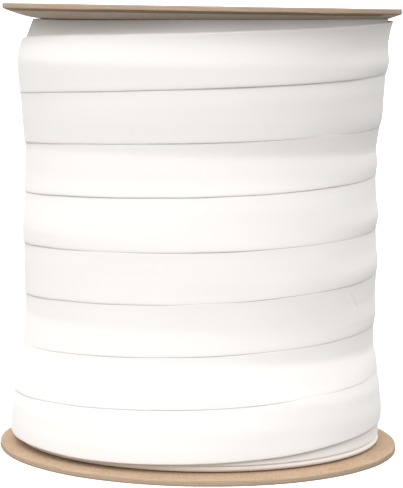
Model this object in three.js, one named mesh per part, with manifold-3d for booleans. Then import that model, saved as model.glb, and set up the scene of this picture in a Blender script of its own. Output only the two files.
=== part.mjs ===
// Reel of white bias tape: a long folded cloth tape wound in slanting turns between two board flanges.
// Units are millimetres. +Z runs up the reel's axis, the reel stands on z = 0 and -Y is its front.
import * as THREE from "three";
import { mergeVertices } from "three/addons/utils/BufferGeometryUtils.js";
import Module from "manifold-3d";

const wasm = await Module();
wasm.setup();

// Driving sizes
const reelHeight = 110.7;
const flangeRadius = 50;
const boardThickness = 1.35;
const cutRounding = 0.3;
const fitGap = 0.3;

// Both flanges are dished: their rims stand away from the winding, round a flat middle.
const dishInnerRadius = 40.5;

// The top flange sits a little to -X of the axis and leans a little to +X.
const topRise = 2.4;
const topRadius = 49.6;
const topCurl = 1.5;
const topShift = -0.4;
const topLean = THREE.MathUtils.degToRad(0.13);

// The bottom flange stands on a narrow flat ring at its rim.
const bottomRise = 2;
const bottomCurl = 1.3;
const standRadius = 48.8;

// Mesh fineness
const flangeSegments = 96;
const dishSteps = 6;
const stepsPerTurn = 60;

// How far shapes that are cut back reach past the cut
const spare = 10;

// Colours
const tapeColour = 0xf3f2ee;
const boardColour = 0xb59d83;

// Path of the tape's lower fold: turn is counted from the front of the lowest outer turn, height is
// above the floor, and lean is how far the upper edge stands out. Below turn -0.5 it runs under the
// lower flange, so the layers beneath show there. From turn 7.66 it is the upper edge of the last outer
// turn, whose end is the steep stretch just before that.
const pathColumns = { turn: 0, height: 1, lean: 2 };
const path = [
  [-2.30, -24.0, 0.0],
  [-0.80, -5.4, 0.0],
  [-0.45, 3.0, 0.0],
  [-0.15, 3.5, 0.0],
  [0.00, 4.55, 0.0],
  [0.15, 6.7, 0.0],
  [0.85, 15.55, 0.0],
  [1.00, 17.15, 0.0],
  [1.15, 19.55, 0.0],
  [1.85, 27.5, 0.0],
  [2.00, 29.35, 0.0],
  [2.15, 31.45, 0.0],
  [2.85, 40.0, 0.0],
  [3.00, 41.75, 0.0],
  [3.15, 44.1, 0.0],
  [3.85, 52.55, 0.0],
  [4.00, 53.75, 0.0],
  [4.15, 55.4, 0.0],
  [4.85, 65.15, 0.0],
  [5.00, 66.65, 0.0],
  [5.15, 68.6, 0.0],
  [5.85, 77.5, 0.0],
  [6.00, 79.25, 0.0],
  [6.15, 80.8, 0.0],
  [6.45, 84.7, -0.2],
  [6.75, 88.4, -0.5],
  [6.85, 89.7, -0.4],
  [7.00, 91.75, 0.0],
  [7.15, 93.75, 0.9],
  [7.25, 94.8, 1.4],
  [7.45, 95.3, 0.7],
  [7.62, 95.35, 0.3],
  [7.66, 100.8, 0.0],
  [7.85, 102.1, 0.0],
  [8.00, 103.9, 0.0],
  [8.15, 106.7, 0.0],
  [8.25, 108.2, 0.0],
  [9.90, 128.5, 0.0],
];

// Share of each turn that lies on the outer layer: 0 on the layers beneath it, 1 on the outer layer
const layerColumns = { turn: 0, share: 1 };
const layers = [
  [-2.30, 0],
  [-0.66, 0],
  [-0.46, 1],
  [7.62, 1],
  [7.66, 0],
  [9.90, 0],
];

// Wound form: radius of the outer layer, radius of the layers beneath it and the form's sideways lean
const formColumns = { height: 0, outer: 1, under: 2, lean: 3 };
const form = [
  [-24.0, 46.65, 44.3, 0.0],
  [2.5, 46.65, 44.3, 0.0],
  [4.0, 46.65, 44.4, -0.65],
  [7.0, 46.65, 44.6, -0.65],
  [12.0, 46.4, 45.2, -0.55],
  [17.0, 45.85, 44.9, -0.3],
  [22.0, 45.0, 44.0, -0.35],
  [27.0, 44.2, 43.2, -0.35],
  [35.0, 43.9, 42.9, 0.0],
  [46.0, 44.2, 43.2, 0.0],
  [56.0, 44.1, 43.1, -0.2],
  [63.0, 43.95, 42.95, -0.1],
  [70.0, 43.8, 42.8, -0.25],
  [76.0, 43.85, 42.85, -0.35],
  [83.0, 44.7, 43.7, -0.2],
  [90.0, 45.4, 44.4, -0.2],
  [97.0, 46.0, 44.9, -0.25],
  [101.0, 46.0, 44.6, -0.2],
  [104.0, 46.0, 44.0, -0.2],
  [107.0, 46.0, 43.3, -0.2],
  [128.5, 46.0, 43.0, -0.2],
];

// Section of one turn: share of the way up to the next turn, and how far it stands off the wound form.
// The lower fold lies proud over the upper edge of the turn below it.
const sectionColumns = { share: 0, offset: 1 };
const section = [
  [0.000, -0.32],
  [0.012, 0.05],
  [0.080, 0.24],
  [0.350, 0.15],
  [0.700, -0.10],
  [0.978, -0.34],
];

// Straight-line reading of a table's column at a value of its first column
function readTable(table, at, column) {
  let row = 0;
  while (row < table.length - 2 && at > table[row + 1][0]) {
    row += 1;
  }
  const share = (at - table[row][0]) / (table[row + 1][0] - table[row][0]);
  const inside = Math.min(Math.max(share, 0), 1);
  return table[row][column] + (table[row + 1][column] - table[row][column]) * inside;
}

// Rise in one turn at a row of the path, from the stretches on both sides of it
function pathSlope(row) {
  const { turn, height } = pathColumns;
  const rise = (a, b) => (b[height] - a[height]) / (b[turn] - a[turn]);
  const before = row > 0 ? rise(path[row - 1], path[row]) : rise(path[0], path[1]);
  const after = row < path.length - 1 ? rise(path[row], path[row + 1]) : before;
  return before * after > 0 ? 2 * before * after / (before + after) : 0;
}

// Smooth height of the tape's lower fold at a turn, through the heights of the path
function foldHeight(turn) {
  let row = 0;
  while (row < path.length - 2 && turn > path[row + 1][pathColumns.turn]) {
    row += 1;
  }
  const a = path[row];
  const b = path[row + 1];
  const span = b[pathColumns.turn] - a[pathColumns.turn];
  const t = (turn - a[pathColumns.turn]) / span;
  const fromA = (1 + 2 * t) * (1 - t) * (1 - t) * a[pathColumns.height];
  const fromB = t * t * (3 - 2 * t) * b[pathColumns.height];
  const slopeA = t * (1 - t) * (1 - t) * span * pathSlope(row);
  const slopeB = t * t * (t - 1) * span * pathSlope(row + 1);
  return fromA + fromB + slopeA + slopeB;
}

// Point of a turn's section on the wound form
function woundPoint(turn, share, offset) {
  const low = foldHeight(turn);
  const high = foldHeight(turn + 1);
  const height = low + (high - low) * share;
  const layer = readTable(layers, turn, layerColumns.share);
  const outer = readTable(form, height, formColumns.outer) + offset;
  const under = readTable(form, height, formColumns.under);
  const stand = readTable(path, turn, pathColumns.lean) * share * share;
  const radius = under + (outer + stand - under) * layer;
  const angle = turn * 2 * Math.PI;
  const across = readTable(form, height, formColumns.lean);
  return [across + radius * Math.sin(angle), -radius * Math.cos(angle), height];
}

// Solid from an indexed geometry's positions
function toSolid(geometry) {
  const bare = new THREE.BufferGeometry();
  bare.setAttribute("position", geometry.getAttribute("position").clone());
  if (geometry.index) {
    bare.setIndex(geometry.index.clone());
  }
  const welded = mergeVertices(bare, 1e-5);
  const mesh = new wasm.Mesh({
    numProp: 3,
    vertProperties: Float32Array.from(welded.getAttribute("position").array),
    triVerts: Uint32Array.from(welded.index.array),
  });
  return new wasm.Manifold(mesh);
}

// Geometry from a solid, with flat-shaded normals
function toGeometry(solid) {
  const mesh = solid.getMesh();
  const geometry = new THREE.BufferGeometry();
  geometry.setAttribute("position", new THREE.BufferAttribute(Float32Array.from(mesh.vertProperties), 3));
  geometry.setIndex(new THREE.BufferAttribute(Uint32Array.from(mesh.triVerts), 1));
  geometry.computeVertexNormals();
  return geometry;
}

// Turned shape about +Z from [radius, height] pairs that start and end on the axis, bottom first
function turned(pairs, segments) {
  const points = pairs.map(([radius, height]) => new THREE.Vector2(radius, height));
  const geometry = new THREE.LatheGeometry(points, segments);
  geometry.rotateX(Math.PI / 2);
  return geometry;
}

// Wound form as one continuous strip of turns, closed to the axis at its first and last turn
function windingGeometry() {
  const firstTurn = path[0][pathColumns.turn];
  const lastTurn = path[path.length - 1][pathColumns.turn] - 1;
  const steps = Math.round((lastTurn - firstTurn) * stepsPerTurn) + 1;
  const rows = section.length;
  const positions = [];
  for (let step = 0; step < steps; step += 1) {
    const turn = firstTurn + step / stepsPerTurn;
    for (const row of section) {
      positions.push(...woundPoint(turn, row[sectionColumns.share], row[sectionColumns.offset]));
    }
  }
  const at = (step, row) => step * rows + row;
  const triangles = [];
  const addQuad = (a, b, c, d) => triangles.push(a, b, c, a, c, d);
  for (let step = 0; step < steps - 1; step += 1) {
    for (let row = 0; row < rows - 1; row += 1) {
      addQuad(at(step, row), at(step + 1, row), at(step + 1, row + 1), at(step, row + 1));
    }
    const above = step + stepsPerTurn;
    if (above + 1 < steps) {
      addQuad(at(step, rows - 1), at(step + 1, rows - 1), at(above + 1, 0), at(above, 0));
    }
  }

  // Lower end: along the first turn's fold, then down the first section
  const lowerRing = [];
  for (let step = 0; step <= stepsPerTurn; step += 1) {
    lowerRing.push(at(step, 0));
  }
  for (let row = rows - 1; row > 0; row -= 1) {
    lowerRing.push(at(0, row));
  }
  const lowerMiddle = positions.length / 3;
  positions.push(0, 0, foldHeight(firstTurn) - spare);
  lowerRing.forEach((point, i) => {
    triangles.push(lowerMiddle, lowerRing[(i + 1) % lowerRing.length], point);
  });

  // Upper end: along the last turn's upper row, then down the last section
  const upperRing = [];
  for (let step = steps - 1 - stepsPerTurn; step < steps; step += 1) {
    upperRing.push(at(step, rows - 1));
  }
  for (let row = rows - 2; row >= 0; row -= 1) {
    upperRing.push(at(steps - 1, row));
  }
  const upperMiddle = positions.length / 3;
  positions.push(0, 0, foldHeight(lastTurn + 1) + spare);
  upperRing.forEach((point, i) => {
    triangles.push(upperMiddle, point, upperRing[(i + 1) % upperRing.length]);
  });

  const geometry = new THREE.BufferGeometry();
  geometry.setAttribute("position", new THREE.Float32BufferAttribute(positions, 3));
  geometry.setIndex(triangles);
  return geometry;
}

// Height of the top flange's dish over its flat middle, at a radius
function topDish(radius) {
  const share = Math.max(0, (radius - dishInnerRadius) / (topRadius - dishInnerRadius));
  return topRise * share ** topCurl;
}

// Height of the bottom flange's dish over the ring that it stands on, at a radius
function bottomDish(radius) {
  const share = Math.max(0, (standRadius - radius) / (standRadius - dishInnerRadius));
  return bottomRise * share ** bottomCurl;
}

// Points along a dish from its flat middle to a radius, lifted by a height
function dishRun(dish, lastRadius, lift) {
  const points = [];
  for (let step = 0; step <= dishSteps; step += 1) {
    const radius = dishInnerRadius + (lastRadius - dishInnerRadius) * step / dishSteps;
    points.push([radius, dish(radius) + lift]);
  }
  return points;
}

// Room between the flanges, dished below and above as they are
const flatTopside = bottomRise + boardThickness;
const flatUnderside = reelHeight - boardThickness - topRise;
const roomRadius = flangeRadius + spare;
const roomFloor = turned([
  [0, flatTopside + fitGap],
  ...dishRun(bottomDish, standRadius, boardThickness + fitGap),
  [roomRadius, boardThickness + fitGap],
  [roomRadius, reelHeight + spare],
  [0, reelHeight + spare],
], flangeSegments);
const roomCeiling = turned([
  [0, -reelHeight - spare],
  [roomRadius, -reelHeight - spare],
  [roomRadius, topRise - fitGap],
  ...dishRun(topDish, topRadius, -fitGap).reverse(),
  [0, -fitGap],
], flangeSegments);
roomCeiling.rotateY(topLean);
roomCeiling.translate(topShift, 0, flatUnderside);
const room = toSolid(roomFloor).intersect(toSolid(roomCeiling));
const winding = toGeometry(toSolid(windingGeometry()).intersect(room));

// Board disc that the reel stands on
const bottomBoard = turned([
  [0, bottomRise],
  ...dishRun(bottomDish, standRadius, 0),
  [flangeRadius - cutRounding, 0],
  [flangeRadius, cutRounding],
  [flangeRadius, boardThickness - cutRounding],
  [flangeRadius - cutRounding, boardThickness],
  ...dishRun(bottomDish, standRadius, boardThickness).reverse(),
  [0, flatTopside],
], flangeSegments);

// Board disc on top
const topBoard = turned([
  [0, 0],
  ...dishRun(topDish, topRadius - cutRounding, 0),
  [topRadius, topRise + cutRounding],
  [topRadius, topRise + boardThickness - cutRounding],
  ...dishRun(topDish, topRadius - cutRounding, boardThickness).reverse(),
  [0, boardThickness],
], flangeSegments);

const tapeMaterial = new THREE.MeshStandardMaterial({ color: tapeColour, roughness: 0.9, metalness: 0 });
tapeMaterial.name = "white_bias_tape";
const boardMaterial = new THREE.MeshStandardMaterial({ color: boardColour, roughness: 0.85, metalness: 0 });
boardMaterial.name = "kraft_board";

const flangeBottom = new THREE.Mesh(toGeometry(toSolid(bottomBoard)), boardMaterial);
flangeBottom.name = "flange_bottom";

const flangeTop = new THREE.Mesh(toGeometry(toSolid(topBoard)), boardMaterial);
flangeTop.name = "flange_top";
flangeTop.position.set(topShift, 0, flatUnderside);
flangeTop.rotation.y = topLean;

const tapeWinding = new THREE.Mesh(winding, tapeMaterial);
tapeWinding.name = "tape_winding";

const reel = new THREE.Group();
reel.name = "bias_tape_reel";
reel.add(flangeBottom, flangeTop, tapeWinding);

export default reel;
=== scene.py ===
# %% [markdown]
# # A reel of white bias tape
# Bias tape is a strip of thin cotton cloth, cut at 45 degrees to its threads so that it stretches round
# curves, then folded lengthways and pressed. Shops keep it on a reel: two round boards with the tape
# wound between them in slanting turns, each turn lying a little over the one below it.
#
# The lesson loads the CAD parts of the reel and dresses them. The CAD gives the places and the main
# sizes. The lesson adds what the CAD leaves out: the folds of the cloth, its weave, and the fibres of
# the boards. Blender works in metres, and `MM` lets the sizes be written in millimetres.

# %% Load the CAD parts
import math

import bpy
import numpy as np
from mathutils import Matrix, Vector


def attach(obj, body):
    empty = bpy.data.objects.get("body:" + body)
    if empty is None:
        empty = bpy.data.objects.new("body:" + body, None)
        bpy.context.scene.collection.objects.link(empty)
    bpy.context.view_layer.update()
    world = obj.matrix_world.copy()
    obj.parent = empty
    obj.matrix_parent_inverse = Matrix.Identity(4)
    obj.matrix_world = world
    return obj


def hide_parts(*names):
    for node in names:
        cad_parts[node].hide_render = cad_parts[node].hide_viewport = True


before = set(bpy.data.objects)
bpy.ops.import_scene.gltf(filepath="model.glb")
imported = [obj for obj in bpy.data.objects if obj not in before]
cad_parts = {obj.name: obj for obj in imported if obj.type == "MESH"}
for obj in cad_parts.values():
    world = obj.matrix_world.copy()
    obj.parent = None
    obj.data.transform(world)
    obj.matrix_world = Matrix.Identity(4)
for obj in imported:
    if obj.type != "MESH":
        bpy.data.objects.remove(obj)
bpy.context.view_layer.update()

MM = 0.001

# %% [markdown]
# ## The camera
# The photograph was taken from about half a metre away, level with the top of the reel and looking a
# little down. The distance and the tilt come from the curves of the two round boards, and the small roll
# from the way both boards slope. The lens is written for the frame of the photograph, because Blender's
# own render size is a different one while the script runs. With the sensor fit left on automatic, the
# sensor's width belongs to the longer side of the picture.

# %% Set the camera
PHOTO_LONG_SIDE = 488
FOCAL_LENGTH_IN_PIXELS = 2157.6
SENSOR_WIDTH = 36.0
CAMERA_PLACE = Vector((0.2, -540.0, 110.4)) * MM
CAMERA_DOWN = math.radians(6.273)
CAMERA_ROLL = math.radians(0.777)

bpy.ops.object.camera_add()
camera = bpy.context.object
camera.name = "photo_camera"
camera.data.sensor_width = SENSOR_WIDTH
camera.data.lens = SENSOR_WIDTH * FOCAL_LENGTH_IN_PIXELS / PHOTO_LONG_SIDE
camera.data.clip_start = 10 * MM
camera.matrix_world = (
    Matrix.Translation(CAMERA_PLACE)
    @ Matrix.Rotation(math.radians(90) - CAMERA_DOWN, 4, "X")
    @ Matrix.Rotation(CAMERA_ROLL, 4, "Z")
)
bpy.context.scene.camera = camera
print("Lens in millimetres:", round(camera.data.lens, 1))

# %% [markdown]
# ## Small helpers
# A Blender operator acts on everything that is selected, and the CAD parts are still selected after
# loading. So each new piece starts by clearing the selection, and faces or edges are then chosen by a
# test. Colours are written as the hex values a painter would pick, and one function turns them into the
# linear values that a shader works with.

# %% Define the helpers for meshes
def start_piece():
    """Leave edit mode and clear the selection, so that the next operator acts on a new piece alone."""
    if bpy.context.object and bpy.context.object.mode != "OBJECT":
        bpy.ops.object.mode_set(mode="OBJECT")
    bpy.ops.object.select_all(action="DESELECT")


def edit_chosen(piece, kind, is_chosen):
    """Open a piece in edit mode with only the chosen edges or faces selected."""
    bpy.ops.object.mode_set(mode="EDIT")
    bpy.ops.mesh.select_mode(type=kind)
    bpy.ops.mesh.select_all(action="DESELECT")
    bpy.ops.object.mode_set(mode="OBJECT")
    for item in piece.data.edges if kind == "EDGE" else piece.data.polygons:
        item.select = is_chosen(item)
    bpy.ops.object.mode_set(mode="EDIT")


def points_of(piece):
    """Give the vertex places of a mesh as an array in millimetres."""
    flat = np.empty(len(piece.data.vertices) * 3)
    piece.data.vertices.foreach_get("co", flat)
    return flat.reshape(-1, 3) / MM


def move_points(piece, places):
    """Put the vertices of a mesh at places given in millimetres."""
    piece.data.vertices.foreach_set("co", np.ascontiguousarray(places * MM).ravel())
    piece.data.update()


# %% Define the helpers for numbers
def linear(hex_colour):
    """Turn an sRGB hex colour into the linear RGBA that Blender's shaders use."""
    channels = [int(hex_colour[place:place + 2], 16) / 255 for place in (1, 3, 5)]
    return [c / 12.92 if c <= 0.04045 else ((c + 0.055) / 1.055) ** 2.4 for c in channels] + [1.0]


def rows_at(rows, place, column=1):
    """Read a column of a table between its rows, which are sorted by their first column."""
    return np.interp(place, rows[:, 0], rows[:, column])


def uneven(position, spacing, seed):
    """Give a smooth unevenness from -1 to 1 along a length, the same on every run."""
    knots = np.random.default_rng(seed).uniform(-1, 1, int(np.max(position) / spacing) + 3)
    cell = np.floor(position / spacing).astype(int)
    share = position / spacing - cell
    blend = share * share * (3 - 2 * share)
    return knots[cell] * (1 - blend) + knots[cell + 1] * blend


print("White is", linear("#ffffff"))

# %% [markdown]
# ## How the tape is folded
# The tape is double-fold bias tape: both long edges of the strip are turned in to the middle, and the
# strip is then folded in half over them. Seen end on there are four layers of cloth, with one closed fold
# at the lower edge and two small folds side by side at the upper edge, where the back stands a little
# higher than the front so that a needle catches both.
#
# The section could be drawn as a flat bar, but then the edges of the turns would be hard and square.
# Here it is one line of cloth that really goes round the folds. Its two columns are the height in the
# folded tape and the height in the stack of layers. `across` is the place along the width of the
# unfolded strip.

# %% Draw the folded section
TAPE_WIDTH = 12.7
FRONT_LIP_SET_BACK = 0.2
CLOTH_THICKNESS = 0.16
LAYER_STEP = 0.18
layer = [CLOTH_THICKNESS / 2 + LAYER_STEP * count for count in range(4)]
TAPE_THICKNESS = layer[3] + CLOTH_THICKNESS / 2


def fold_arc(edge, inward, lower, upper, start, stop, count):
    """Give points round a fold whose outside touches the height edge, between two layers."""
    radius = (upper - lower) / 2
    angles = np.radians(np.linspace(start, stop, count))
    return [
        (edge + inward * radius + radius * math.cos(angle), lower + radius + radius * math.sin(angle))
        for angle in angles
    ]


# from one raw edge to the other: inside, back fold, back, closed fold, face, front fold, inside
section = np.array(
    [(height, layer[1]) for height in (1.6, 5.0, 9.0, 11.8)]
    + fold_arc(TAPE_WIDTH, -1, layer[0], layer[1], 90, -90, 5)
    + [(height, layer[0]) for height in (9.0, 5.0, 1.2)]
    + fold_arc(0.0, 1, layer[0], layer[3], 270, 90, 9)
    + [(height, layer[3]) for height in np.linspace(0.8, 11.8, 14)]
    + fold_arc(TAPE_WIDTH - FRONT_LIP_SET_BACK, -1, layer[2], layer[3], 90, -90, 5)
    + [(height, layer[2]) for height in (9.0, 5.0, 1.9)]
)
across = np.concatenate(([0.0], np.cumsum(np.hypot(*np.diff(section, axis=0).T))))
last_point = len(section) - 1
print("Unfolded strip is", round(across[-1], 1), "mm wide, seen in", len(section), "points")

# %% [markdown]
# ## How the tape is wound
# On the reel the tape climbs about one tape width in each turn. `TAPE_PATH` follows its lower edge: the
# count of turns from the front of the lowest turn that shows, and the height there. A quarter turn more
# is the right side, and a quarter turn less is the left. A hand-wound reel is never even, so each turn
# has its own heights at the left, the front and the right. Below zero the tape comes from the turn
# underneath. Straight lines between the rows would leave corners in the cloth, so a smooth curve joins
# them.

# %% Describe the path of the tape
TAPE_PATH = np.array([
    (-1.40, 4.40), (-1.00, 4.10), (-0.90, 4.05), (-0.75, 4.20), (-0.50, 4.50), (-0.30, 4.40),
    (-0.19, 4.10), (-0.15, 3.95), (-0.10, 3.70), (-0.035, 4.20), (0.00, 4.55), (0.065, 5.50),
    (0.15, 7.30), (0.85, 15.55), (1.00, 17.15), (1.15, 19.55), (1.85, 27.50), (2.00, 29.35),
    (2.15, 31.45), (2.85, 40.00), (3.00, 41.75), (3.15, 44.10), (3.85, 52.55), (4.00, 53.75),
    (4.15, 55.40), (4.85, 65.15), (5.00, 66.65), (5.15, 68.60), (5.85, 77.50), (6.00, 79.25),
    (6.15, 80.80), (6.45, 84.70), (6.75, 88.40), (6.85, 89.70), (7.00, 91.75), (7.15, 93.75),
    (7.25, 94.80), (7.45, 95.20), (7.75, 95.20),
])
TAPE_FIRST_TURN = -1.30
TAPE_LAST_TURN = 7.62


def path_height(turn):
    """Give the height of the tape's lower edge, on a smooth curve that never overshoots its rows."""
    turns, heights = TAPE_PATH.T
    rises = np.diff(heights) / np.diff(turns)
    before, after = np.append(rises[0], rises), np.append(rises, rises[-1])
    steady = before * after > 0
    slopes = np.where(steady, 2 * before * after / np.where(steady, before + after, 1), 0)
    row = np.clip(np.searchsorted(turns, turn) - 1, 0, len(turns) - 2)
    span = turns[row + 1] - turns[row]
    share = (turn - turns[row]) / span
    square, cube = share**2, share**3
    return (
        (2 * cube - 3 * square + 1) * heights[row] + (cube - 2 * square + share) * span * slopes[row]
        + (3 * square - 2 * cube) * heights[row + 1] + (cube - square) * span * slopes[row + 1]
    )


print("Height of each turn at the front:", [round(float(path_height(count)), 1) for count in range(8)])

# %% [markdown]
# `WOUND_FORM` is the shape of the whole winding: waisted, with the lowest turns leaning to the left. It
# follows the CAD part, so the cloth lies where the CAD solid is. `TAPE_DEPTH` lets the first turn start
# deeper, under the next one.

# %% Describe the shape of the winding
# height, radius of the outside, sideways lean
WOUND_FORM = np.array([
    (0, 46.65, -0.65), (7, 46.65, -0.65), (12, 46.4, -0.55), (17, 45.85, -0.3), (22, 45.0, -0.35),
    (27, 44.2, -0.35), (35, 43.9, 0.0), (46, 44.2, 0.0), (56, 44.25, -0.35), (63, 44.05, -0.2),
    (70, 43.8, -0.25), (76, 43.85, -0.35), (83, 44.7, -0.2), (90, 45.4, -0.2), (97, 46.05, -0.4),
    (110, 46.0, -0.2),
])

# turn, how far the tape lies below the outside of the winding
TAPE_DEPTH = np.array([
    (-1.3, 0.8), (-1.0, 0.65), (-0.75, 0.6), (-0.5, 0.35), (-0.3, 0.1), (-0.2, 0.0), (7.7, 0.0),
])
print("Narrowest radius of the winding in millimetres:", WOUND_FORM[:, 1].min())

# %% [markdown]
# No two turns lie alike. The lower edge of a turn steps out over the turn below, sharply in some places
# and hardly at all in others, and that step is what draws the dark line between them. On the right the
# lower part of each turn swells out. The upper edge of the last turn tucks in on the left and flares out
# on the right. These tables say how much, round the reel.

# %% Describe how each turn lies
# turn, how strongly its lower edge steps out over the turn below: left, front, right and back
EDGE_STEP = np.array([
    (-1.30, 0.50), (0.00, 0.44), (0.20, 0.15), (0.50, 0.40),
    (0.80, 0.75), (0.92, 0.55), (1.00, 0.36), (1.08, 0.20), (1.15, 0.17), (1.50, 0.40),
    (1.80, 0.08), (1.90, 0.25), (2.05, 0.42), (2.15, 0.12), (2.50, 0.40),
    (2.84, 0.62), (2.93, 0.32), (3.00, 0.12), (3.15, 0.10), (3.50, 0.40),
    (3.84, 0.85), (3.93, 0.50), (4.00, 0.30), (4.10, 0.08), (4.20, 0.08), (4.50, 0.40),
    (4.80, 0.70), (5.00, 0.60), (5.12, 0.45), (5.22, 0.25), (5.50, 0.40),
    (5.80, 0.50), (6.00, 0.28), (6.12, 0.10), (6.22, 0.08), (6.50, 0.40),
    (6.80, 0.42), (6.92, 0.50), (7.02, 1.00), (7.12, 0.80), (7.22, 0.32), (7.60, 0.40),
])

# turn, how far its lower part swells out on the right
RIGHT_SWELL = np.array([
    (-0.5, 0.0), (0.25, 0.25), (1.25, 0.25), (2.25, 0.35), (3.25, 0.42), (4.25, 0.60),
    (5.25, 0.38), (6.25, 0.28), (7.25, 0.65),
])

# turn, how far the upper edge of the last turn leans out from the winding
EDGE_LEAN = np.array([
    (6.15, 0.0), (6.45, -0.1), (6.75, -0.2), (6.85, -0.15), (7.0, 0.0), (7.15, 0.9), (7.25, 1.4),
    (7.45, 0.7), (7.7, 0.3),
])

# degrees round the reel from the front towards the right, how far that edge tucks in on the left
EDGE_TUCK = np.array([
    (-180, 0.0), (-126, 0.9), (-90, 1.35), (-54, 1.0), (-25, 0.4), (0, 0.0), (180, 0.0),
])
# the stretch of the tape that is tucked
TUCKED_TURNS = (6.3, 7.2)
print("Largest swell on the right in millimetres:", RIGHT_SWELL[:, 1].max())

# %% [markdown]
# ## The wound tape
# The cloth starts as a flat grid, as long as the strip and as wide as it is before folding. Each point
# of the grid then moves: first into the folded section, then round the reel. A curve with a bevelled
# section would also make a ribbon, but it would turn where the path climbs, and its weave would not
# follow the folds. A grid keeps the strip's own flat map, measured in metres, so the threads run at 45
# degrees to the edges all the way.
#
# One short crease runs along a thread on the right, in the third turn from the foot. The grid is too
# coarse for it, so the faces round it are subdivided.

# %% Lay out the strip
STEPS_IN_A_TURN = 108
TAPE_MEAN_RADIUS = 44.6
MEAN_TURN = 2 * math.pi * TAPE_MEAN_RADIUS
TURN_COUNT = TAPE_LAST_TURN - TAPE_FIRST_TURN
CREASE_TURN = 2.159
CREASE_FACE_TURNS = 0.03
# the points of the section that bound the tape's outer face
FACE_POINTS = (20, 36)

start_piece()
tape_steps = round(TURN_COUNT * STEPS_IN_A_TURN)
bpy.ops.mesh.primitive_grid_add(x_subdivisions=tape_steps, y_subdivisions=last_point, size=1)
tape = bpy.context.object
tape.name = "bias_tape"


def near_crease(face):
    """Tell whether a face of the flat grid lies on the tape's outer face, round the crease."""
    turn_here = TAPE_FIRST_TURN + (face.center.x + 0.5) * TURN_COUNT
    point_here = (face.center.y + 0.5) * last_point
    is_outside = FACE_POINTS[0] < point_here < FACE_POINTS[1]
    return is_outside and abs(turn_here - CREASE_TURN) < CREASE_FACE_TURNS


edit_chosen(tape, "FACE", near_crease)
bpy.ops.mesh.subdivide(number_cuts=3)
bpy.ops.object.mode_set(mode="OBJECT")
tape_length = TURN_COUNT * MEAN_TURN
print("Strip is", round(tape_length / 1000, 2), "m long, in", len(tape.data.polygons), "faces")

# %% Find each point's place on the strip
# how far the cut end slants, in turns, and the share of the strip that goes over to the slant
BIAS_CUT = 0.030
CUT_SHARE = 0.03

flat_places = points_of(tape) * MM
tape_along = flat_places[:, 0] + 0.5
tape_point = (flat_places[:, 1] + 0.5) * last_point
on_section = np.arange(len(section))
tape_height = np.interp(tape_point, on_section, section[:, 0])
stack_height = np.interp(tape_point, on_section, section[:, 1])
strip_place = np.interp(tape_point, on_section, across)
up_share = tape_height / TAPE_WIDTH
run = tape_along * tape_length

# the last of the strip is cut on the slant
near_end = np.clip((tape_along - (1 - CUT_SHARE)) / CUT_SHARE, 0, 1)
turn = TAPE_FIRST_TURN + tape_along * TURN_COUNT + near_end * BIAS_CUT * (up_share - 0.5)
angle = turn * 2 * math.pi
print("Tape has", len(turn), "points, in", round(np.ptp(turn), 2), "turns")

# %% [markdown]
# ## How the cloth gives
# A belt would lie flat. Cloth does not: hand tension lets its edges and its face wander by up to about a
# tenth of a millimetre, each turn stands out at its lower edge and draws in at its upper edge, and the
# whole tape is pressed thinner at both edges. A turn's upper edge goes by the step of the turn above,
# because that is the turn that lies on it.

# %% Let the cloth give
# height in the tape, how far it stands out at a full step
STEP_PROFILE = np.array([
    (0.0, 0.12), (0.6, 0.18), (2.5, 0.17), (6.0, 0.08), (9.5, -0.03), (11.6, -0.13), (TAPE_WIDTH, -0.20),
])
# height in the tape, share of the swell
SWELL_PROFILE = np.array([(0.0, 0.0), (1.2, 0.6), (3.0, 1.0), (5.0, 0.5), (6.8, 0.0)])
# a high power keeps the swell to the far right, and the tuck to the upper edge
SWELL_POWER = 5
TUCK_POWER = 6
SLOW_EDGE_WANDER = 0.07
QUICK_EDGE_WANDER = 0.05
FACE_WANDER = 0.04
FACE_TWIST = 0.03
FACE_RIPPLE = 0.03

edge_wander = SLOW_EDGE_WANDER * uneven(run, spacing=22, seed=1)
edge_wander += QUICK_EDGE_WANDER * uneven(run, spacing=9, seed=2)
face_wander = (
    FACE_WANDER * uneven(run, spacing=31, seed=3)
    + FACE_TWIST * uneven(run, spacing=19, seed=4) * (up_share - 0.5) * 2
    + FACE_RIPPLE * uneven(run, spacing=13, seed=5) * np.cos(2 * math.pi * up_share)
)
stand_proud = rows_at(STEP_PROFILE, tape_height)
stand_proud *= np.where(stand_proud > 0, rows_at(EDGE_STEP, turn), rows_at(EDGE_STEP, turn + 1))
swell = rows_at(RIGHT_SWELL, turn) * np.clip(np.sin(angle), 0, 1) ** SWELL_POWER
swell *= rows_at(SWELL_PROFILE, tape_height)
is_last = (turn > TUCKED_TURNS[0]) & (turn < TUCKED_TURNS[1])
around = np.degrees(np.arctan2(np.sin(angle), np.cos(angle)))
tuck = is_last * rows_at(EDGE_TUCK, around) * up_share ** TUCK_POWER
print("Tape stands out by up to", round(float((stand_proud + swell).max()), 2), "mm")

# %% Press in the crease
CREASE_HEIGHT = 8.4
CREASE_REACH = 3.6
CREASE_FADE = 1.5
CREASE_DEPTH = 0.07
CREASE_WIDTH = 0.45
RIDGE_RISE = 0.04
RIDGE_PLACE = 0.9
RIDGE_WIDTH = 0.6

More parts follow.
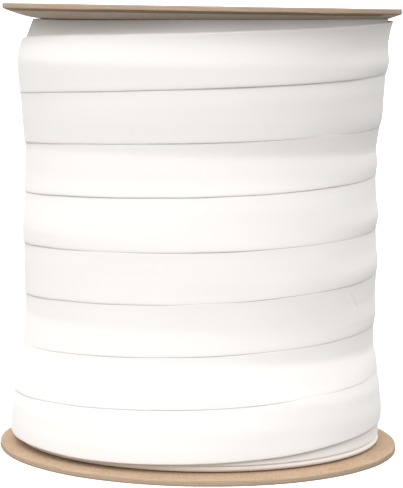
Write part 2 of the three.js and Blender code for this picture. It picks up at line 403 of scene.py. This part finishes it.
# the crease slopes down to the right at 45 degrees, with a low ridge along its upper side
from_crease = (turn - CREASE_TURN) * MEAN_TURN
over_crease = tape_height - CREASE_HEIGHT
along_crease = (from_crease - over_crease) * math.sqrt(0.5)
across_crease = (from_crease + over_crease) * math.sqrt(0.5)
ridge = RIDGE_RISE * np.exp(-((across_crease - RIDGE_PLACE) / RIDGE_WIDTH) ** 2)
trough = CREASE_DEPTH * np.exp(-(across_crease / CREASE_WIDTH) ** 2)
on_face = (tape_point > FACE_POINTS[0]) & (tape_point < FACE_POINTS[1])
crease = (ridge - trough) * on_face * np.clip((CREASE_REACH - np.abs(along_crease)) / CREASE_FADE, 0, 1)
print("Crease is", round(float(-crease.min()), 3), "mm deep")

# %% [markdown]
# ## Round the reel
# Where two turns lie further apart than the tape is wide, the lower one is eased a little wider, so that
# it still reaches under the next and no gap opens between them. Then every point gets its height and its
# distance from the axis, and the finished strip gets the thickness of the cloth.

# %% Wind the strip
OVERLAP = 0.6
MOST_EASED = 1.1
LEAN_POWER = 3
# how much of the tuck also lifts the edge
TUCK_LIFT = 0.7
# height in the tape, share of its full thickness
PRESSED = np.array([(0.0, 0.30), (0.8, 0.45), (2.2, 0.9), (10.5, 0.9), (12.0, 0.40), (TAPE_WIDTH, 0.22)])

pitch = path_height(np.minimum(turn + 1, TAPE_PATH[-1, 0])) - path_height(turn)
eased = np.clip((pitch + OVERLAP) / TAPE_WIDTH, 1, MOST_EASED)
height = path_height(turn) + edge_wander + tape_height * eased + TUCK_LIFT * tuck
radius = (
    rows_at(WOUND_FORM, height) - rows_at(TAPE_DEPTH, turn)
    + rows_at(EDGE_LEAN, turn) * up_share ** LEAN_POWER
    + stand_proud + swell + face_wander + crease - tuck
    - (TAPE_THICKNESS - stack_height) * rows_at(PRESSED, tape_height)
)
lean = rows_at(WOUND_FORM, height, 2)
move_points(tape, np.column_stack((lean + radius * np.sin(angle), -radius * np.cos(angle), height)))
print("Tape reaches from", round(height.min(), 1), "to", round(height.max(), 1), "mm high")

# %% Give the strip its flat map and its thickness
def corner_points(piece):
    """Give the vertex that each corner of each face stands on."""
    vertices = np.empty(len(piece.data.loops), dtype=int)
    piece.data.loops.foreach_get("vertex_index", vertices)
    return vertices


def set_strip_map(piece, along, up):
    """Give a piece its flat map, from two lengths in millimetres for each corner of each face."""
    flat_map = np.column_stack((along, up)) * MM
    piece.data.uv_layers[0].name = "strip"
    piece.data.uv_layers["strip"].uv.foreach_set("vector", np.ascontiguousarray(flat_map).ravel())


tape_corners = corner_points(tape)
set_strip_map(tape, run[tape_corners], strip_place[tape_corners])
solidify = tape.modifiers.new("cloth", "SOLIDIFY")
solidify.thickness = CLOTH_THICKNESS * MM
solidify.offset = 0
bpy.ops.object.modifier_apply(modifier="cloth")
bpy.ops.object.shade_smooth()
print("Tape has", sum(len(face.vertices) - 2 for face in tape.data.polygons), "triangles")

# %% [markdown]
# ## The layers underneath
# Under the outer turns lie many more. They show only between turns, at the top where the last turn stands
# away from the board, and at the foot, where a deeper layer rests on the lower board. One closed form
# stands for all of them: a cylinder cut into rows, each row then set to its own radius. At both ends the
# layers draw in towards the middle. At the top the last of them climbs to the right and outwards, along
# the underside of the upper board.

# %% Cut a cylinder into rows
def upright_cylinder(name, sides, radius, bottom, top, rows):
    """Add a closed cylinder whose side is cut into level rows."""
    start_piece()
    bpy.ops.mesh.primitive_cylinder_add(
        vertices=sides, radius=radius * MM, depth=(top - bottom) * MM,
        location=(0, 0, (top + bottom) / 2 * MM),
    )
    piece = bpy.context.object
    piece.name = name
    bpy.ops.object.transform_apply()
    corners = piece.data.vertices

    def is_upright(edge):
        """Tell whether an edge joins the two ends of the cylinder."""
        return corners[edge.vertices[0]].co.z != corners[edge.vertices[1]].co.z

    edit_chosen(piece, "EDGE", is_upright)
    bpy.ops.mesh.subdivide(number_cuts=rows - 1)
    bpy.ops.object.mode_set(mode="OBJECT")
    return piece


UNDER_BOTTOM = 2.35
UNDER_TOP = 107.5
UNDER_SIDES = 144
UNDER_ROWS = 62
UNDER_START_RADIUS = 43
under = upright_cylinder(
    "under_layers", UNDER_SIDES, UNDER_START_RADIUS, UNDER_BOTTOM, UNDER_TOP, UNDER_ROWS
)
print("Under layers have", len(under.data.vertices), "points")

# %% Describe the layers underneath
# height, radius
UNDER_FORM = np.array([
    (UNDER_BOTTOM, 44.6), (2.6, 45.2), (3.1, 45.6), (4.4, 45.6), (5.2, 45.2), (7, 45.1), (12, 44.8),
    (17, 44.3), (22, 43.7), (27, 43.0), (35, 42.8), (46, 43.1), (56, 43.0), (63, 42.8), (70, 42.7),
    (76, 42.7), (83, 43.6), (90, 44.3), (97, 44.9), (101, 45.2), (110, 45.2),
])
# degrees round the reel from the front towards the right, height and radius of the upper edge
UNDER_EDGE = np.array([
    (-180, 107.3, 43.4), (-135, 106.95, 42.4), (-90, 106.9, 42.2), (-53, 106.9, 41.8),
    (-35, 107.0, 42.2), (-20, 107.15, 43.0), (0, 107.5, 44.3), (15, 107.6, 44.7), (32, 107.75, 45.2),
    (47, 107.9, 45.6), (63, 108.0, 45.9), (90, 107.95, 46.0), (135, 107.7, 45.1), (180, 107.3, 43.4),
])
SHOULDER = 101.0
SHOULDER_ROW = 51
EDGE_ROW = UNDER_ROWS - 1
# row of the cylinder, its height
ROW_HEIGHTS = np.array([(1, UNDER_BOTTOM), (2, 2.43), (3, 2.6), (12, 6.5), (SHOULDER_ROW, SHOULDER)])
print("Upper edge climbs from", UNDER_EDGE[:, 1].min(), "to", UNDER_EDGE[:, 1].max(), "mm")

# %% Shape the layers underneath
# the first and the last row close the ends, out of sight
HIDDEN_RADIUS = 40.0
HIDDEN_BOTTOM = 3.5
HIDDEN_TOP = 106.7
UNDER_MEAN_RADIUS = 44
UNDER_WANDER = 0.06
# the layers follow the tucked edge of the tape from this height up, by this share
TUCK_START = 96
UNDER_TUCK = 0.7
# the foot stands straight, and the lean sets in above it
FOOT_TOP = 3
LEAN_TOP = 5

places = points_of(under)
row = np.rint((places[:, 2] - UNDER_BOTTOM) / (UNDER_TOP - UNDER_BOTTOM) * UNDER_ROWS)
under_angle = np.arctan2(places[:, 0], -places[:, 1])
around = np.degrees(under_angle)
edge_share = np.clip((row - SHOULDER_ROW) / (EDGE_ROW - SHOULDER_ROW), 0, 1)
height = rows_at(ROW_HEIGHTS, row)
height += edge_share * (rows_at(UNDER_EDGE, around) - SHOULDER)
tuck_share = np.clip((height - TUCK_START) / (SHOULDER - TUCK_START), 0, 1) ** 2
radius = rows_at(UNDER_FORM, height) - UNDER_TUCK * rows_at(EDGE_TUCK, around) * tuck_share
radius += edge_share * (rows_at(UNDER_EDGE, around, 2) - radius)
radius += UNDER_WANDER * uneven((under_angle + math.pi) * UNDER_MEAN_RADIUS, spacing=17, seed=11)

is_end = (row == 0) | (row == UNDER_ROWS)
under_height = np.select([row == 0, row == UNDER_ROWS], [HIDDEN_BOTTOM, HIDDEN_TOP], height)
radius = np.where(is_end, HIDDEN_RADIUS, radius)
lean_share = np.clip((under_height - FOOT_TOP) / (LEAN_TOP - FOOT_TOP), 0, 1)
across_place = rows_at(WOUND_FORM, under_height, 2) * lean_share + radius * np.sin(under_angle)
move_points(under, np.column_stack((across_place, -radius * np.cos(under_angle), under_height)))
print("Under layers reach from", under_height.min(), "to", round(under_height.max(), 2), "mm high")

# %% Give the layers underneath a flat map
under_corners = corner_points(under)
round_places = under_angle[under_corners]
for face in under.data.polygons:
    loops = list(face.loop_indices)
    face_places = round_places[loops]
    # a face that crosses the back has its left corners carried on past the right ones
    if len(loops) == 4 and np.ptp(face_places) > math.pi:
        round_places[loops] = np.where(face_places < 0, face_places + 2 * math.pi, face_places)
set_strip_map(under, round_places * UNDER_MEAN_RADIUS, under_height[under_corners])
bpy.ops.object.shade_smooth_by_angle(angle=math.radians(50))
print("Under layers have", len(under.data.polygons), "faces")

# %% [markdown]
# ## The two boards
# Each end of the reel is a disc of kraft board, punched from a sheet a little over a millimetre thick.
# The punch rounds the rim a little, and the cut shows the layers of pulp that the board is rolled from.
# The rims of both boards have curled away from the tape. The lower board stands on its rim, with its
# middle raised. The upper board has its rim above its middle like a saucer, and leans a very little to
# the right.
#
# A cylinder gives the disc. Its side is cut into rows so that the cut can be rough, its two rims are
# bevelled, and its faces are inset into rings, which is what lets the boards curl. Each point keeps its
# height in the flat board in an attribute, so that the layers can be drawn on the cut after the board is
# bent.

# %% Punch the boards
LOWER_BOARD_RADIUS = 50.0
UPPER_BOARD_RADIUS = 49.6
BOARD_THICKNESS = 1.35
BOARD_SIDES = 240
BOARD_ROWS = 3
RIM_ROUNDING = 0.25
RING_STEP = 1.2
RING_COUNT = 9
CUT_WANDER = 0.05
CUT_FIBRES = 0.03
# moves the roughness along the rim from row to row, so that the rows are not rough at the same places
ROW_SHIFT = 9


def punched_board(name, board_radius, seed):
    """Make a flat disc of board with rounded rims, rings on both faces and a slightly rough cut."""
    board = upright_cylinder(name, BOARD_SIDES, board_radius, 0, BOARD_THICKNESS, BOARD_ROWS)
    corners = board.data.vertices

    def is_rim(edge):
        """Tell whether an edge lies round the lower or the upper face."""
        first, second = (corners[corner].co.z for corner in edge.vertices)
        return first == second and round(first / MM, 2) in (0.0, BOARD_THICKNESS)

    edit_chosen(board, "EDGE", is_rim)
    bpy.ops.mesh.bevel(offset=RIM_ROUNDING * MM, segments=3)
    bpy.ops.object.mode_set(mode="OBJECT")
    # only the two flat faces have as many corners as the disc has sides
    edit_chosen(board, "FACE", lambda face: len(face.vertices) == BOARD_SIDES)
    for _ in range(RING_COUNT):
        bpy.ops.mesh.inset(thickness=RING_STEP * MM)
    bpy.ops.object.mode_set(mode="OBJECT")

    places = points_of(board)
    in_board = places[:, 2].copy()
    along_rim = (np.arctan2(places[:, 0], -places[:, 1]) + math.pi) * board_radius
    at_cut = np.hypot(places[:, 0], places[:, 1]) > board_radius - 0.5 * RIM_ROUNDING
    rough = CUT_WANDER * uneven(along_rim, spacing=7, seed=seed)
    rough += CUT_FIBRES * uneven(along_rim + ROW_SHIFT * in_board, spacing=1.6, seed=seed + 1)
    places[:, :2] *= 1 + (at_cut * (rough - CUT_WANDER) / board_radius)[:, None]
    move_points(board, places)
    board.data.attributes.new("in_board", "FLOAT", "POINT").data.foreach_set("value", in_board)
    return board


lower_board = punched_board("lower_board", LOWER_BOARD_RADIUS, 21)
upper_board = punched_board("upper_board", UPPER_BOARD_RADIUS, 31)
print("Each board has", len(upper_board.data.polygons), "faces")

# %% Curl the boards and set the upper one in place
DISH_INNER_RADIUS = 40.5
UPPER_RISE = 2.4
UPPER_CURL = 1.5
UPPER_LEAN = math.radians(0.13)
UPPER_BOARD_PLACE = (-0.4, 0, 106.95)
LOWER_RISE = 2.0
LOWER_CURL = 1.3
STAND_RADIUS = 48.8

places = points_of(lower_board)
from_axis = np.hypot(places[:, 0], places[:, 1])
in_share = (STAND_RADIUS - from_axis) / (STAND_RADIUS - DISH_INNER_RADIUS)
places[:, 2] += LOWER_RISE * np.clip(in_share, 0, 1) ** LOWER_CURL
move_points(lower_board, places)

places = points_of(upper_board)
from_axis = np.hypot(places[:, 0], places[:, 1])
out_share = (from_axis - DISH_INNER_RADIUS) / (UPPER_BOARD_RADIUS - DISH_INNER_RADIUS)
places[:, 2] += UPPER_RISE * np.clip(out_share, 0, None) ** UPPER_CURL
tipped = np.array(Matrix.Rotation(UPPER_LEAN, 3, "Y"))
move_points(upper_board, places @ tipped.T + np.array(UPPER_BOARD_PLACE))

for board in (lower_board, upper_board):
    start_piece()
    board.select_set(True)
    bpy.context.view_layer.objects.active = board
    bpy.ops.object.shade_smooth_by_angle(angle=math.radians(35))
print("Upper board's rim is", round(points_of(upper_board)[:, 2].max(), 1), "mm high at its highest")

# %% [markdown]
# ## Cotton cloth
# The tape is a plain weave of cotton or cotton and polyester, bleached white and pressed: each thread
# goes over one and under the next. It gives the eye a soft, dull white with a fine grain and a faint
# bloom at the edges. Multiplying two waves that cross at right angles gives one small cushion for each
# crossing, which is what a plain weave looks like, and the strip's own flat map turns them to 45 degrees.
# The real threads are about 0.35 mm apart. They are drawn 0.6 mm apart, because finer ones would be only
# a pixel or two wide in the picture.

# %% Define the helpers for materials
# the colour sockets of a Mix node, which has one set of sockets for each kind of data
MIX_FIRST = 6
MIX_SECOND = 7
MIX_RESULT = 2


def add_node(owner, kind, settings=None, inputs=None):
    """Add a node with its settings. An input is a plain value, or the socket that it is linked from."""
    node = owner.node_tree.nodes.new(kind)
    for name, value in (settings or {}).items():
        setattr(node, name, value)
    for name, value in (inputs or {}).items():
        if isinstance(value, bpy.types.NodeSocket):
            owner.node_tree.links.new(value, node.inputs[name])
        else:
            node.inputs[name].default_value = value
    return node


def new_material(name):
    """Add a material and give it with its shader node."""
    material = bpy.data.materials.new(name)
    material.use_nodes = True
    return material, material.node_tree.nodes["Principled BSDF"]


print("Materials so far:", len(bpy.data.materials))

# %% Weave the cloth
# coarser than real threads, so that the weave can show
THREAD_SPACING = 0.6 * MM
SLUB_LENGTH = 7 * MM
MOTTLE_SIZE = 25 * MM
BIAS = math.radians(45)

# bleached cotton: a soft, dull white, with a grain that slants across the strip
cotton, shader = new_material("white_cotton_bias_tape")
strip_map = add_node(cotton, "ShaderNodeUVMap", {"uv_map": "strip"}).outputs["UV"]
threads = add_node(cotton, "ShaderNodeMapping", inputs={
    "Vector": strip_map, "Rotation": (0, 0, BIAS), "Scale": (math.pi / THREAD_SPACING,) * 3})
thread_axes = add_node(cotton, "ShaderNodeSeparateXYZ", inputs={"Vector": threads.outputs["Vector"]})
warp = add_node(cotton, "ShaderNodeMath", {"operation": "SINE"}, {0: thread_axes.outputs["X"]})
weft = add_node(cotton, "ShaderNodeMath", {"operation": "SINE"}, {0: thread_axes.outputs["Y"]})
crossing = add_node(cotton, "ShaderNodeMath", {"operation": "MULTIPLY"}, {
    0: warp.outputs[0], 1: weft.outputs[0]})
cushion = add_node(cotton, "ShaderNodeMath", {"operation": "ABSOLUTE"}, {0: crossing.outputs[0]})

# slubs are the thicker stretches of a spun thread
slub_map = add_node(cotton, "ShaderNodeMapping", inputs={
    "Vector": strip_map, "Rotation": (0, 0, BIAS), "Scale": (1 / THREAD_SPACING, 1 / SLUB_LENGTH, 1)})
slubs = add_node(cotton, "ShaderNodeTexNoise", inputs={
    "Vector": slub_map.outputs["Vector"], "Scale": 1, "Detail": 2})
relief = add_node(cotton, "ShaderNodeMath", {"operation": "MULTIPLY_ADD"}, {
    0: slubs.outputs["Fac"], 1: 0.8, 2: cushion.outputs[0]})
weave_bump = add_node(cotton, "ShaderNodeBump", inputs={
    "Strength": 0.06, "Distance": 0.05 * MM, "Height": relief.outputs[0]})
print("Weave uses", len(cotton.node_tree.nodes), "nodes")

# %% Bleach the cloth
mottle = add_node(cotton, "ShaderNodeTexNoise", inputs={
    "Vector": strip_map, "Scale": 1 / MOTTLE_SIZE, "Detail": 3})
# painted shade: the hollows between the cushions of the weave are a shade darker than their tops
thread_colour = add_node(cotton, "ShaderNodeMix", {"data_type": "RGBA"}, {
    "Factor": cushion.outputs[0], MIX_FIRST: linear("#f7f4f1"), MIX_SECOND: linear("#f8f5f2")})
cloth_colour = add_node(cotton, "ShaderNodeMix", {"data_type": "RGBA", "blend_type": "MULTIPLY"}, {
    "Factor": mottle.outputs["Fac"], MIX_FIRST: thread_colour.outputs[MIX_RESULT],
    MIX_SECOND: linear("#fbfbfb")})
cotton.node_tree.links.new(cloth_colour.outputs[MIX_RESULT], shader.inputs["Base Color"])
cotton.node_tree.links.new(weave_bump.outputs["Normal"], shader.inputs["Normal"])
shader.inputs["Roughness"].default_value = 0.85
shader.inputs["Specular IOR Level"].default_value = 0.25
shader.inputs["Sheen Weight"].default_value = 0.1
shader.inputs["Sheen Roughness"].default_value = 0.5
for piece in (tape, under):
    piece.data.materials.append(cotton)
print("Cloth uses", len(cotton.node_tree.nodes), "nodes")

# %% [markdown]
# ## Kraft board
# Kraft board is unbleached wood pulp, rolled into a sheet. Its face is a warm, dull brown with short
# fibres lying in all directions, darker specks of bark, and soft clouds where the pulp is thicker. Two
# stretched noises, turned different ways, give the fibres. The back of the board, which lies against the
# tape on the upper board, is paler and greyer than the face. The attribute that holds a point's height in
# the board tells the two apart.

# %% Lay the fibres
FIBRE_WIDTH = 0.3 * MM
FIBRE_LENGTH = 2.4 * MM
CLOUD_SIZE = 9 * MM
SPECK_SIZE = 1.1 * MM
FIBRE_DIRECTIONS = (25, 115)

# unbleached pulp board: a warm, dull brown, with short fibres and a few dark specks
kraft, shader = new_material("kraft_board_face")
place = add_node(kraft, "ShaderNodeTexCoord").outputs["Object"]
fibres = []
for degrees in FIBRE_DIRECTIONS:
    lie = add_node(kraft, "ShaderNodeMapping", inputs={
        "Vector": place, "Rotation": (0, 0, math.radians(degrees)),
        "Scale": (1 / FIBRE_WIDTH, 1 / FIBRE_LENGTH, 1 / FIBRE_WIDTH)})
    fibres.append(add_node(kraft, "ShaderNodeTexNoise", inputs={
        "Vector": lie.outputs["Vector"], "Scale": 1, "Detail": 3}).outputs["Fac"])
all_fibres = add_node(kraft, "ShaderNodeMath", {"operation": "MAXIMUM"}, {0: fibres[0], 1: fibres[1]})
fibre_share = add_node(kraft, "ShaderNodeMapRange", inputs={
    "Value": all_fibres.outputs[0], "From Min": 0.4, "From Max": 0.75})
clouds = add_node(kraft, "ShaderNodeTexNoise", inputs={
    "Vector": place, "Scale": 1 / CLOUD_SIZE, "Detail": 4})
specks = add_node(kraft, "ShaderNodeTexNoise", inputs={
    "Vector": place, "Scale": 1 / SPECK_SIZE, "Detail": 1})
speck_share = add_node(kraft, "ShaderNodeMapRange", inputs={
    "Value": specks.outputs["Fac"], "From Min": 0.68, "From Max": 0.76, "To Max": 0.5})
fibre_bump = add_node(kraft, "ShaderNodeBump", inputs={
    "Strength": 0.4, "Distance": 0.03 * MM, "Height": all_fibres.outputs[0]})
print("Fibres use", len(kraft.node_tree.nodes), "nodes")

# %% Colour the face and the back
face_fibres = add_node(kraft, "ShaderNodeMix", {"data_type": "RGBA"}, {
    "Factor": fibre_share.outputs["Result"], MIX_FIRST: linear("#a58d76"), MIX_SECOND: linear("#b7a18a")})
back_fibres = add_node(kraft, "ShaderNodeMix", {"data_type": "RGBA"}, {
    "Factor": fibre_share.outputs["Result"], MIX_FIRST: linear("#bfae9f"), MIX_SECOND: linear("#d3c4b6")})
in_board = add_node(kraft, "ShaderNodeAttribute", {"attribute_name": "in_board"}).outputs["Fac"]
to_face = add_node(kraft, "ShaderNodeMapRange", inputs={"Value": in_board, "From Max": BOARD_THICKNESS})
fibre_colour = add_node(kraft, "ShaderNodeMix", {"data_type": "RGBA"}, {
    "Factor": to_face.outputs["Result"], MIX_FIRST: back_fibres.outputs[MIX_RESULT],
    MIX_SECOND: face_fibres.outputs[MIX_RESULT]})
cloud_colour = add_node(kraft, "ShaderNodeMix", {"data_type": "RGBA", "blend_type": "MULTIPLY"}, {
    "Factor": clouds.outputs["Fac"], MIX_FIRST: fibre_colour.outputs[MIX_RESULT],
    MIX_SECOND: linear("#ece5dd")})
kraft_colour = add_node(kraft, "ShaderNodeMix", {"data_type": "RGBA"}, {
    "Factor": speck_share.outputs["Result"], MIX_FIRST: cloud_colour.outputs[MIX_RESULT],
    MIX_SECOND: linear("#8f735b")})
kraft.node_tree.links.new(kraft_colour.outputs[MIX_RESULT], shader.inputs["Base Color"])
kraft.node_tree.links.new(fibre_bump.outputs["Normal"], shader.inputs["Normal"])
shader.inputs["Roughness"].default_value = 0.9
shader.inputs["Specular IOR Level"].default_value = 0.25
print("Board face uses", len(kraft.node_tree.nodes), "nodes")

# %% [markdown]
# ## The punched cut
# On the cut the layers of pulp show as thin level lines with torn fibres between them. The lowest
# corner, the arris, carries painted shade, and so does the ring under the rim of each board, where shade
# falls under the rim. The ring takes the same material and is as dark as the arris. Faces are told apart
# by the way they point: those of the cut are steep, and the shaded ring faces down near the rim.

# %% Show the layers on the cut
PLY_THICKNESS = 0.45
ARRIS_HEIGHT = 0.14
TORN_LENGTH = 1.2 * MM
TORN_HEIGHT = 0.2 * MM

# torn pulp: a rough, dull brown with level lines, and painted shade on its lower corner
cut_edge, shader = new_material("kraft_board_cut")
place = add_node(cut_edge, "ShaderNodeTexCoord").outputs["Object"]
in_board = add_node(cut_edge, "ShaderNodeAttribute", {"attribute_name": "in_board"}).outputs["Fac"]
torn = add_node(cut_edge, "ShaderNodeMapping", inputs={
    "Vector": place, "Scale": (1 / TORN_LENGTH, 1 / TORN_LENGTH, 1 / TORN_HEIGHT)})
torn_fibres = add_node(cut_edge, "ShaderNodeTexNoise", inputs={
    "Vector": torn.outputs["Vector"], "Scale": 1, "Detail": 4}).outputs["Fac"]
ply_place = add_node(cut_edge, "ShaderNodeMath", {"operation": "MULTIPLY_ADD"}, {
    0: in_board, 1: 2 * math.pi / PLY_THICKNESS, 2: torn_fibres})
ply_wave = add_node(cut_edge, "ShaderNodeMath", {"operation": "SINE"}, {0: ply_place.outputs[0]})
ply_share = add_node(cut_edge, "ShaderNodeMath", {"operation": "MULTIPLY_ADD"}, {
    0: ply_wave.outputs[0], 1: 0.18, 2: torn_fibres})
ply_colour = add_node(cut_edge, "ShaderNodeMix", {"data_type": "RGBA"}, {
    "Factor": ply_share.outputs[0], MIX_FIRST: linear("#a8927d"), MIX_SECOND: linear("#c2ab95")})
# painted shade: the lowest corner of the cut, and the ring under the rim that takes this material, get
# this darker colour
off_arris = add_node(cut_edge, "ShaderNodeMath", {"operation": "GREATER_THAN"}, {
    0: in_board, 1: ARRIS_HEIGHT})
cut_colour = add_node(cut_edge, "ShaderNodeMix", {"data_type": "RGBA"}, {
    "Factor": off_arris.outputs[0], MIX_FIRST: linear("#94826f"),
    MIX_SECOND: ply_colour.outputs[MIX_RESULT]})
cut_bump = add_node(cut_edge, "ShaderNodeBump", inputs={
    "Strength": 0.5, "Distance": 0.05 * MM, "Height": ply_share.outputs[0]})
cut_edge.node_tree.links.new(cut_colour.outputs[MIX_RESULT], shader.inputs["Base Color"])
cut_edge.node_tree.links.new(cut_bump.outputs["Normal"], shader.inputs["Normal"])
shader.inputs["Roughness"].default_value = 0.95
shader.inputs["Specular IOR Level"].default_value = 0.2
print("Board cut uses", len(cut_edge.node_tree.nodes), "nodes")

# %% Give each face of the boards its material
# a face is steep when it points up or down by less than this
STEEP = 0.8

for board in (lower_board, upper_board):
    board.data.materials.append(kraft)
    board.data.materials.append(cut_edge)
    for face in board.data.polygons:
        is_under_rim = face.center.xy.length / MM > UPPER_BOARD_RADIUS - RING_STEP
        # faces that point down near the rim take the cut material for its painted shade colour
        is_painted_shade_ring = face.normal.z < 0 and is_under_rim
        face.material_index = 1 if abs(face.normal.z) < STEEP or is_painted_shade_ring else 0
print("Cut faces on the upper board:", sum(face.material_index for face in upper_board.data.polygons))

# %% [markdown]
# ## Floor and light
# The reel stands on a white paper sweep: a floor that curves up into a wall, so there is no line behind
# the object. A plane gives the floor, its back edge is extruded upwards for the wall, and the corner
# between them is bevelled round. The paper is hidden from the light that bounces between surfaces. Such a
# wide white floor would light the underside of the upper board too brightly, so the world alone says how
# much light comes from below.

# %% Roll out the paper sweep
SWEEP_HALF_WIDTH = 6.0
SWEEP_FRONT = -6.0
SWEEP_BACK = 1.6
SWEEP_HEIGHT = 1.8
SWEEP_BEND = 0.6
# a corner this near to a line counts as on it
NEAR = 0.01

start_piece()
bpy.ops.mesh.primitive_plane_add(size=1)
sweep = bpy.context.object
sweep.name = "paper_sweep"
sweep.scale = (2 * SWEEP_HALF_WIDTH, SWEEP_BACK - SWEEP_FRONT, 1)
sweep.location = (0, (SWEEP_BACK + SWEEP_FRONT) / 2, 0)
bpy.ops.object.transform_apply(location=True, scale=True)
corners = sweep.data.vertices
edit_chosen(sweep, "EDGE", lambda edge: all(
    corners[corner].co.y > SWEEP_BACK - NEAR for corner in edge.vertices))
bpy.ops.mesh.extrude_region_move(TRANSFORM_OT_translate={"value": (0, 0, SWEEP_HEIGHT)})
bpy.ops.object.mode_set(mode="OBJECT")
edit_chosen(sweep, "EDGE", lambda edge: all(
    corners[corner].co.y > SWEEP_BACK - NEAR and corners[corner].co.z < NEAR for corner in edge.vertices))
bpy.ops.mesh.bevel(offset=SWEEP_BEND, segments=16)
bpy.ops.object.mode_set(mode="OBJECT")
bpy.ops.object.shade_smooth()

# matt white paper: an even white without shine
paper, shader = new_material("white_sweep_paper")
shader.inputs["Base Color"].default_value = linear("#f6f6f5")
shader.inputs["Roughness"].default_value = 0.9
sweep.data.materials.append(paper)
sweep.visible_diffuse = False
print("Sweep has", len(sweep.data.polygons), "faces")

# %% [markdown]
# A large soft light hangs in front, high and a little to the left. It makes the left half of the tape
# nearly white and draws the lines between the turns. A weaker one hangs beside it, and a low one on the
# right keeps that side from going grey. The last light makes the paper behind the reel clear white.

# %% Hang the lights
REEL_MIDDLE = (0, 0, 0.05)


def soft_light(name, place, target, size, power):
    """Add a square soft light that faces a target."""
    bpy.ops.object.light_add(type="AREA", location=place)
    light = bpy.context.object
    light.name = name
    light.data.size = size
    light.data.energy = power
    light.rotation_euler = (Vector(target) - Vector(place)).to_track_quat("-Z", "Y").to_euler()


soft_light("key_softbox", (-0.34, -0.84, 1.30), REEL_MIDDLE, size=0.9, power=13.8)
soft_light("overhead_softbox", (0.13, -0.74, 1.35), REEL_MIDDLE, size=0.9, power=2)
soft_light("right_fill", (1.2, -0.75, 0.25), REEL_MIDDLE, size=0.8, power=1.4)
soft_light("backdrop_light", (0, 0.5, 0.9), (0, 1.6, 0.4), size=0.8, power=14)

# %% [markdown]
# The world stands for a white room. It is bright above and dim below, which leaves the underside of the
# upper board dark. A pale table on the lower left lightens it there. The height and the side of each
# direction give its brightness, and the ranges blend one part of the room into the next.

# %% Light the room
ROOM_ABOVE = 1.75
ROOM_BELOW = 0.15
TABLE_ON_LEFT = 0.85

world = bpy.data.worlds.new("white_room")
bpy.context.scene.world = world
world.use_nodes = True
direction = add_node(world, "ShaderNodeSeparateXYZ", inputs={
    "Vector": add_node(world, "ShaderNodeTexCoord").outputs["Generated"]})
left_table = add_node(world, "ShaderNodeMapRange", inputs={
    "Value": direction.outputs["Z"], "From Min": -0.7, "From Max": -0.2,
    "To Min": TABLE_ON_LEFT, "To Max": ROOM_BELOW})
floor_light = add_node(world, "ShaderNodeMapRange", inputs={
    "Value": direction.outputs["X"], "From Min": -0.6, "From Max": 0,
    "To Min": left_table.outputs["Result"], "To Max": ROOM_BELOW})
brightness = add_node(world, "ShaderNodeMapRange", inputs={
    "Value": direction.outputs["Z"], "From Min": 0.05, "From Max": 0.55,
    "To Min": floor_light.outputs["Result"], "To Max": ROOM_ABOVE})
room_light = world.node_tree.nodes["Background"]
room_light.inputs["Color"].default_value = linear("#ffffff")
world.node_tree.links.new(brightness.outputs["Result"], room_light.inputs["Strength"])
bpy.context.scene.view_settings.view_transform = "Standard"
print("Room uses", len(world.node_tree.nodes), "nodes")

# %% [markdown]
# ## Attach the pieces
# Each piece is set to ride on a body, and the CAD part that it stands for is hidden. The reel has no
# joints, so everything rides on the one body.

for piece, part, finish in (
    (tape, "tape_winding", "white_bias_tape"),
    (under, "tape_winding", "white_bias_tape"),
    (lower_board, "flange_bottom", "kraft_board"),
    (upper_board, "flange_top", "kraft_board"),
):
    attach(piece, "root")
    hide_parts(part)
